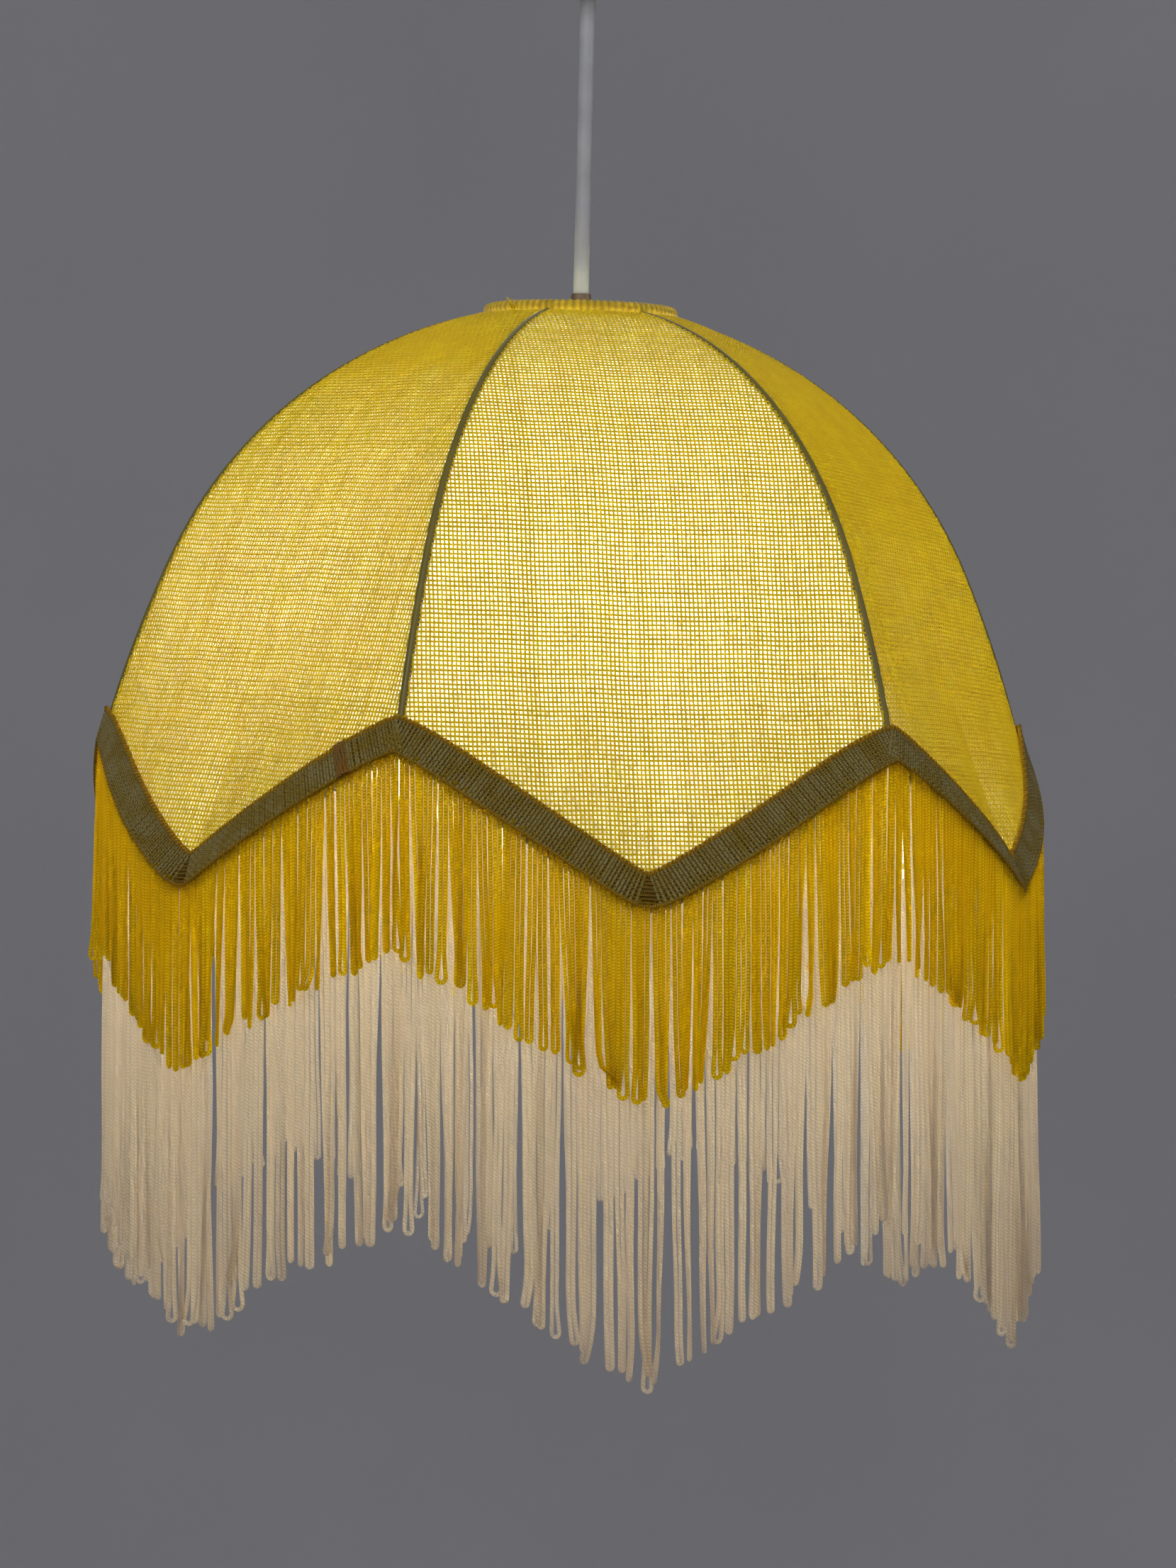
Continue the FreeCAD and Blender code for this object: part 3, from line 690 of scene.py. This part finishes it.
def hem_height(angle):
    """The trim's top edge: rounded over the ribs, tighter in the valleys, no two quite alike."""
    gore = np.mod(angle, 2 * math.pi) / (2 * HALF)
    which = np.minimum(gore.astype(int), GORES - 1)
    drop = np.asarray(VALLEYS)[which]
    middle = 0.5 + np.asarray(VALLEY_SHIFTS)[which]
    share = gore - which
    along = np.where(share < middle, share / middle, (1 - share) / (1 - middle)) * RUN
    rise = np.hypot(along, PEAK_BEND) - np.hypot(RUN - along, VALLEY_BEND)
    low = PEAK_BEND - math.hypot(RUN, VALLEY_BEND)
    high = math.hypot(RUN, PEAK_BEND) - VALLEY_BEND
    wander = 0.35 * np.sin(5 * angle + 0.7) + 0.25 * np.sin(11 * angle + 2.0)
    return PEAK_H - (drop + PEAK_H) * (rise - low) / (high - low) + wander


hem_angles = np.linspace(0, 2 * math.pi, 7201)
hem_a = hem_angles * HEM_R
hem_z = hem_height(hem_angles)
hem_s = run_along(hem_a, hem_z)
HEM_LENGTH = hem_s[-1]
hem_slope = np.arctan2(np.gradient(hem_z), np.gradient(hem_a))


def on_hem(s, down, out):
    """A point of the trim: along its top edge, square down from it, and out from the dome."""
    s = np.mod(s, HEM_LENGTH)
    a, z, slope = (np.interp(s, hem_s, v) for v in (hem_a, hem_z, hem_slope))
    a, z = a + down * np.sin(slope), z - down * np.cos(slope)
    angle = a / HEM_R
    radius = shell_radius(angle, z) + out
    return np.stack([radius * np.cos(angle), radius * np.sin(angle), z], -1)


def hem_out(s):
    """The level direction out from the dome along the trim."""
    angle = np.interp(np.mod(s, HEM_LENGTH), hem_s, hem_a) / HEM_R
    return np.stack([np.cos(angle), np.sin(angle), np.zeros_like(angle)], -1)


def weave_band(name, slot, paints, seed, *, base, start, depth, column, rows, bulge, thick):
    """A woven heading: columns across it, with rows of thinner yarn over and under them."""
    rng = np.random.default_rng(seed)
    total = int(HEM_LENGTH / column / 2) * 2
    step = HEM_LENGTH / total
    columns = Strands(6)
    downs = np.linspace(start + 0.3, start + depth - 0.3, 2 * rows + 1)
    for n in range(total):
        s = n * step + rng.normal(0, 0.06)
        wave = bulge * 0.35 * np.cos(math.pi * np.arange(len(downs))) * (1 if n % 2 else -1)
        path = on_hem(np.full(len(downs), s) + rng.normal(0, 0.05), downs, base + wave)
        out = hem_out(np.full(len(downs), s))
        columns.add(path, out, thick * rng.uniform(0.92, 1.08), rng.uniform(0, 1))
    warps = Strands(6)
    s = np.arange(total) * step
    for row in range(rows):
        sign = np.where((np.arange(total) + row) % 2 == 0, 1.0, -1.0)
        down = start + depth * (row + 0.5) / rows + rng.normal(0, 0.05, total)
        path = on_hem(s, down, base + sign * bulge)
        warps.add(path, hem_out(s), thick * 0.62, rng.uniform(0, 1), closed=True)
    return [
        columns.piece(name + "_columns", paints[0], slot, name),
        warps.piece(name + "_warps", paints[1], slot, name),
    ]


def band_ground(name, slot, paint, *, base, start, depth):
    """The flat ground of a heading, closed all round, which shuts the light in."""
    total = 1200
    s = np.arange(total) * HEM_LENGTH / total
    foot, outer, inner = start + depth, base + 0.25, base - 0.15
    section = [(start, outer), (foot, outer), (foot, inner), (start, inner)]
    points = np.stack([on_hem(s, np.full(total, down), out) for down, out in section], 1)
    quads = grid_quads(total, 4, True, True)
    return make_piece(name + "_ground", points.reshape(-1, 3), quads, paint, slot, name)


def edge_cord(name, *, down, out, radius, swell):
    """A twisted cord along an edge of the yellow heading."""
    total = int(HEM_LENGTH / COLUMN) * 4
    s = np.arange(total) * HEM_LENGTH / total
    beat = np.cos(np.arange(total) * math.pi / 2)
    strands = Strands(8)
    path = on_hem(s, down - 0.25 * beat * swell, out + 0.2 * beat * swell)
    strands.add(path, hem_out(s), radius * (1 + 0.16 * beat * swell), closed=True)
    return strands.piece(name, EDGE_YARN, TRIM, TRIM)


def join_trim():
    """The turned-under end of the trim, which laps over its start beside a front rib."""
    start = np.interp(JOIN_ANGLE, hem_angles, hem_s)
    fold = Strands(6)
    for n in range(5):
        downs = np.linspace(-1.0 + 0.2 * (n % 2), BAND + 0.5, 9)
        along = np.full(9, start + (n - 2) * 1.2) + 0.25 * np.sin(downs + n)
        out = 2.1 - 0.3 * abs(n - 2) + 0.12 * np.cos(2.0 * downs + n)
        fold.add(on_hem(along, downs, out), hem_out(along), 0.66, 0.25 * n)
    return fold.piece("yellow_trim_join", FOLD_YARN, TRIM, TRIM)


TRIM, TAPE = "yellow_trim", "white_tape"
BAND, COLUMN = 11.0, 1.38  # the heading's depth, and the pitch of its columns
JOIN_ANGLE = math.radians(232.2)
trim_pieces = weave_band(
    TRIM, TRIM, (SHADED_COLUMN_YARN, SHADED_WARP_YARN), 7,
    base=1.15, start=0.4, depth=BAND, column=COLUMN, rows=8, bulge=0.42, thick=0.6,
) + [
    band_ground(TRIM, TRIM, SHADED_BACKING, base=0.55, start=0.4, depth=BAND - 0.3),
    edge_cord("yellow_trim_edge", down=0.2, out=1.1, radius=0.8, swell=1.0),
    edge_cord("yellow_trim_foot", down=BAND + 0.2, out=1.0, radius=0.6, swell=0.7),
    join_trim(),
]
tape_pieces = weave_band(
    TAPE, "white_trim", (WHITE_YARN, WHITE_YARN), 8,
    base=-4.1, start=4.0, depth=10.0, column=2.4, rows=4, bulge=0.5, thick=0.7,
) + [band_ground(TAPE, "white_trim", WHITE_YARN, base=-4.1, start=4.2, depth=9.6)]


# ---- fringes ------------------------------------------------------------------------------
LEAN = 0.0241 * np.array([0.984, -0.176, 0.0])  # sideways for each millimetre down
SHORT_AT, SHORT_WIDTH, SHORT_BY = math.radians(210.0), math.radians(16.0), 5.0  # a short stretch


def loop_gap(share, left, spacing, cord, wide):
    """Half the width of a loop: as it leaves the heading, side by side, and round its eye."""
    close = 1 - np.clip(left / 9.0, 0, 1)
    gap = spacing * 0.25 * (1 - share) ** 0.7 + cord * 1.04 * (1 - (1 - share) ** 0.7)
    return gap + (wide - cord * 1.04) * close**2 * (3 - 2 * close)


def hang_fringe(
    name, paint, seed, *, spacing, down, out, fall, uneven, cord, step, bunch, stray
):
    """Looped cords that hang from a heading, in six pieces."""
    rng = np.random.default_rng(seed)
    line = on_hem(hem_s[:-1], np.full(len(hem_s) - 1, down), out)
    line_angle = np.arctan2(line[:, 1], line[:, 0])
    order = np.argsort(line_angle)
    line, line_angle = line[order], line_angle[order]
    line_r = np.hypot(line[:, 0], line[:, 1])
    total = int(2 * math.pi * HEM_R / spacing)
    gather = ripple(rng, (19.0, 31.0, 13.0), bunch)
    slow = ripple(rng, (83.0, 140.0, 57.0), 1.0)
    bend = np.linspace(0, math.pi, 7)[1:-1, None]
    parts = [Strands(6) for _ in range(GORES)]
    for n in range(total):
        angle = -math.pi + (n + 0.5 + rng.normal(0, 0.06)) * 2 * math.pi / total
        s = angle * HEM_R
        radial = np.array([math.cos(angle), math.sin(angle), 0.0])
        level = np.array([-math.sin(angle), math.cos(angle), 0.0])
        top_r, top_z = (np.interp(angle, line_angle, v) for v in (line_r, line[:, 2]))
        top = top_r * radial + top_z * UP
        length = fall + slow(s) * uneven + rng.normal(0, uneven * 0.7)
        if rng.random() < 0.06:
            length -= rng.uniform(1.0, 3.0) * uneven
        length -= SHORT_BY * math.exp(-(((angle % (2 * math.pi)) - SHORT_AT) / SHORT_WIDTH) ** 2)
        wide = cord * (1.06 if rng.random() < 0.6 else rng.uniform(1.3, 2.3))
        final = rng.normal(0, 0.9)
        sway = gather(s) + rng.normal(0, stray)
        swing = rng.normal(0, stray * 0.8)
        lift = rng.uniform(0, 2 * math.pi)
        hook = rng.normal(0, 1.6) if rng.random() < 0.25 else 0.0
        forward = rng.normal(0, 0.3)
        share = np.linspace(0, 1, max(6, int(length / step)))
        drop = share * (length - wide)
        gap = loop_gap(share, length - wide - drop, spacing, cord, wide)[:, None]
        sideways = sway * share**1.4 + 0.25 * np.sin(drop / 11.0 + lift) * share
        sideways = sideways + hook * np.clip((share - 0.9) / 0.1, 0, 1) ** 2
        outward = swing * share**1.2 + 0.2 * np.cos(drop / 13.0 + lift) * share + forward
        middle = top + sideways[:, None] * level + outward[:, None] * radial
        middle = middle + drop[:, None] * (LEAN - UP)
        twist = (final * share**1.2)[:, None]
        beside = np.cos(twist) * level + np.sin(twist) * radial
        facing = np.cos(twist) * radial - np.sin(twist) * level
        eye = middle[-1] - np.cos(bend) * beside[-1] * gap[-1] - np.sin(bend) * UP * wide * 1.15
        path = np.vstack([middle - beside * gap, eye, (middle + beside * gap)[::-1]])
        norms = np.vstack([facing, np.repeat(facing[-1:], len(eye), 0), facing[::-1]])
        fade = np.concatenate([share, np.ones(len(eye)), share[::-1]])
        part = int(np.mod(angle, 2 * math.pi) / (2 * HALF)) % GORES
        parts[part].add(path, norms, cord * rng.uniform(0.9, 1.08), rng.uniform(0, 1), fade)
    return [part.piece(name + "_" + str(n + 1), paint, name, name) for n, part in enumerate(parts)]


yellow_fringe = hang_fringe(
    "yellow_fringe", YELLOW_CORD, 21, spacing=3.5, down=9.6, out=0.9, fall=71.0,
    uneven=1.4, cord=0.8, step=4.0, bunch=1.6, stray=0.9,
)
white_fringe = hang_fringe(
    "white_fringe", WHITE_CORD, 22, spacing=4.0, down=13.0, out=-4.3, fall=162.0,
    uneven=2.4, cord=0.82, step=5.0, bunch=2.9, stray=1.7,
)


# ---- top binding --------------------------------------------------------------------------
def bind_top():
    """The gathered binding that wraps the top ring, its stitched seam, and a knot of thread."""
    rng = np.random.default_rng(31)
    total, section = 720, 16
    angles = np.arange(total) / total * 2 * math.pi
    gathers = np.cumsum(rng.uniform(0.7, 1.3, total))
    gathers = gathers / gathers[-1] * 2 * math.pi * 84
    fold = 0.5 + 0.5 * np.sin(gathers)
    fold = fold * rng.uniform(0.8, 1.0, total)
    around = np.radians(np.linspace(-62.0, 208.0, section))
    crown = 0.4 + 0.6 * np.sin(np.linspace(0, math.pi, section))
    seam_lip = np.array([0.9, 0.35] + [0.0] * (section - 2))
    size = 2.25 + 0.45 * fold[:, None] * crown + seam_lip
    radius = RING_R + size * np.cos(around)
    height = RING_H + size * np.sin(around)
    across, ahead = radius * np.cos(angles)[:, None], radius * np.sin(angles)[:, None]
    band = make_piece(
        "top_binding_band", np.stack([across, ahead, height], -1).reshape(-1, 3),
        grid_quads(total, section, True), BINDING, "binding", "top_binding",
        values={"fold": np.repeat(fold, section)},
    )
    seam = Strands(6)
    stitches = 72
    for n in range(stitches):
        centre = (n + 0.5) / stitches * 2 * math.pi
        run = centre + np.linspace(-0.4, 0.4, 5) * 2 * math.pi / stitches
        sink = np.array([-0.5, 0.1, 0.25, 0.1, -0.5])
        r = RING_R + 3.55 + sink + rng.normal(0, 0.08)
        z = np.full(5, RING_H - 3.3) + rng.normal(0, 0.1)
        path = np.stack([r * np.cos(run), r * np.sin(run), z], -1)
        out = np.stack([np.cos(run), np.sin(run), np.zeros(5)], -1)
        seam.add(path, out, 0.35, rng.uniform(0, 0.4))
    at = math.radians(-142.0)
    out = np.array([math.cos(at), math.sin(at), 0.0])
    level = np.array([-math.sin(at), math.cos(at), 0.0])
    knot = out * (RING_R + 3.4) + UP * (RING_H - 0.6)
    steps = np.linspace(0, 4 * math.pi, 26)[:, None]
    coil = knot + np.cos(steps) * level * 1.2 + np.sin(steps) * UP * 0.9
    coil = coil + out * 0.25 * np.sin(steps * 0.5)
    seam.add(coil, np.repeat(out[None, :], len(coil), 0), 0.42, 0.6)
    t = np.linspace(0, 1, 9)[:, None]
    tail = knot + level * (-3.0 * t) + UP * (4.6 * t - 0.8 * t**3) + out * (0.6 * t)
    seam.add(tail, np.repeat(out[None, :], len(tail), 0), 0.32, 0.8)
    return [band, seam.piece("top_binding_stitches", THREAD, "binding", "top_binding")]


binding_pieces = bind_top()

# ---- flex ---------------------------------------------------------------------------------
flex_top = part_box("flex")[1].z
grip_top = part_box("cord_grip")[1].z


def run_flex():
    """The taut flex, straight up from the lampholder to the rose."""
    data = bpy.data.curves.new("pendant_flex", "CURVE")
    data.dimensions = "3D"
    line = data.splines.new("NURBS")
    levels = [grip_top - 0.008, grip_top, grip_top + 0.02, -0.075, -0.045, flex_top]
    line.points.add(len(levels) - 1)
    for point, z in zip(line.points, levels):
        point.co = (0.0, 0.0, z, 1.0)
    line.order_u = 3
    line.use_endpoint_u = True
    data.bevel_depth = 0.003
    data.bevel_resolution = 6
    data.use_fill_caps = True
    data.materials.append(FLEX)
    piece = bpy.data.objects.new("pendant_flex", data)
    bpy.context.scene.collection.objects.link(piece)
    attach(piece, "pendant")
    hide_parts("flex")


run_flex()

for k, (sheet, going) in gore_pieces.items():
    if k == 1:
        going += trim_pieces + tape_pieces + yellow_fringe + white_fringe + binding_pieces
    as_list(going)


# ---- setting ------------------------------------------------------------------------------
def room():
    """A round pale studio: a floor that turns up into a wall, well away from the object."""
    corner = [(3.4 + math.sin(a), -1.0 - math.cos(a)) for a in np.linspace(0, math.pi / 2, 16)]
    profile = [(0.01, -2.0)] + corner + [(4.4, 2.6)]
    total = 96
    angles = np.arange(total) / total * 2 * math.pi
    points = [(r * math.cos(a), r * math.sin(a), z) for r, z in profile for a in angles]
    quads = grid_quads(len(profile), total, False, True)
    mesh = bpy.data.meshes.new("studio")
    mesh.from_pydata(points, [], quads.tolist())
    mesh.shade_smooth()
    p = Paint("pale_paper")
    tone = p.ramp(p.noise(1.5, 3.0), 0.3, 0.7)
    colour = p.blend(tone, (0.56, 0.56, 0.58), (0.61, 0.605, 0.62))
    mesh.materials.append(p.done(p.principled(colour, p.ramp(tone, 0, 1, 0.85, 0.95))))
    studio = bpy.data.objects.new("studio", mesh)
    bpy.context.scene.collection.objects.link(studio)


def area_light(name, spot, size, power, colour):
    data = bpy.data.lights.new(name, "AREA")
    data.shape = "DISK"
    data.size = size
    data.energy = power
    data.color = colour
    light = bpy.data.objects.new(name, data)
    light.location = spot
    aim = Vector((0, 0, -0.3)) - Vector(spot)
    light.rotation_euler = aim.to_track_quat("-Z", "Y").to_euler()
    bpy.context.scene.collection.objects.link(light)


room()
area_light("key", (-1.3, -2.2, 1.1), 1.6, 27.0, (1.0, 0.97, 0.95))
area_light("fill", (2.0, -1.2, 0.9), 1.8, 9.0, (0.94, 0.96, 1.0))
area_light("back", (0.4, 2.2, 1.2), 1.8, 8.0, (0.95, 0.96, 1.0))
world = bpy.data.worlds.new("soft_sky")
world.use_nodes = True
sky = world.node_tree.nodes["Background"]
sky.inputs["Color"].default_value = (0.80, 0.82, 0.88, 1.0)
sky.inputs["Strength"].default_value = 0.30
bpy.context.scene.world = world
bpy.context.scene.view_settings.view_transform = "Standard"
